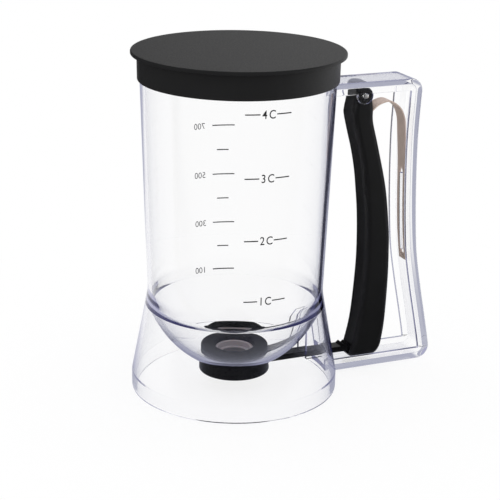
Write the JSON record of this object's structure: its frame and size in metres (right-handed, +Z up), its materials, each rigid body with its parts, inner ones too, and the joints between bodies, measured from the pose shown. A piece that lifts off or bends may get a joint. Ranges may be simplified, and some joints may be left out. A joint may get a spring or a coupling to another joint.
{
  "type": "pancake batter dispenser",
  "caption": "Clear batter jug with a press-on lid, a loop handle and a sprung trigger that slides a valve open under its bowl.",
  "frame": {"origin": "middle of the object's outline, seen from above, at the level of its foot", "axes": "+Z up along the barrel's axis, +X from the barrel towards the handle, +Y completes a right-handed set"},
  "size_m": [0.1714, 0.1114, 0.1841],
  "materials": {
    "clear_plastic": "clear, polished",
    "lid_plastic": "fine satin, charcoal",
    "trigger_plastic": "satin black",
    "pin_steel": "drawn wire, cut ends",
    "spring_steel": "rolled strip",
    "slide_plastic": "satin black",
    "housing_plastic": "satin black",
    "seat_plastic": "satin black",
    "seal_rubber": "soft grey silicone"
  },
  "bodies": {
    "container": {"container": "clear_plastic", "pivot_pin": "pin_steel", "return_spring": "spring_steel", "valve_housing": "housing_plastic", "valve_seat": "seat_plastic", "valve_seal": "seal_rubber"},
    "lid": {"lid": "lid_plastic"},
    "trigger": {"trigger": "trigger_plastic"},
    "valve_slide": {"valve_slide": "slide_plastic"}
  },
  "joints": [
    {"name": "lid_lift", "type": "slide", "parent": "container", "child": "lid", "axis": [0, 0, 1], "range_m": [0, 0.04]},
    {"name": "trigger_squeeze", "type": "hinge", "parent": "container", "child": "trigger", "pos_m": [0.03896, 0, 0.157], "axis": [0, -1, 0], "range_deg": [0, 6.2], "stiffness_Nm_per_rad": 4, "springref_deg": -5.73, "deforming": ["return_spring"]},
    {"name": "valve_travel", "type": "slide", "parent": "container", "child": "valve_slide", "axis": [1, 0, 0], "range_m": [0, 0.0155]}
  ],
  "couplings": [
    {"joint": "valve_travel", "follows": "trigger_squeeze", "m_per_rad": 0.143}
  ]
}
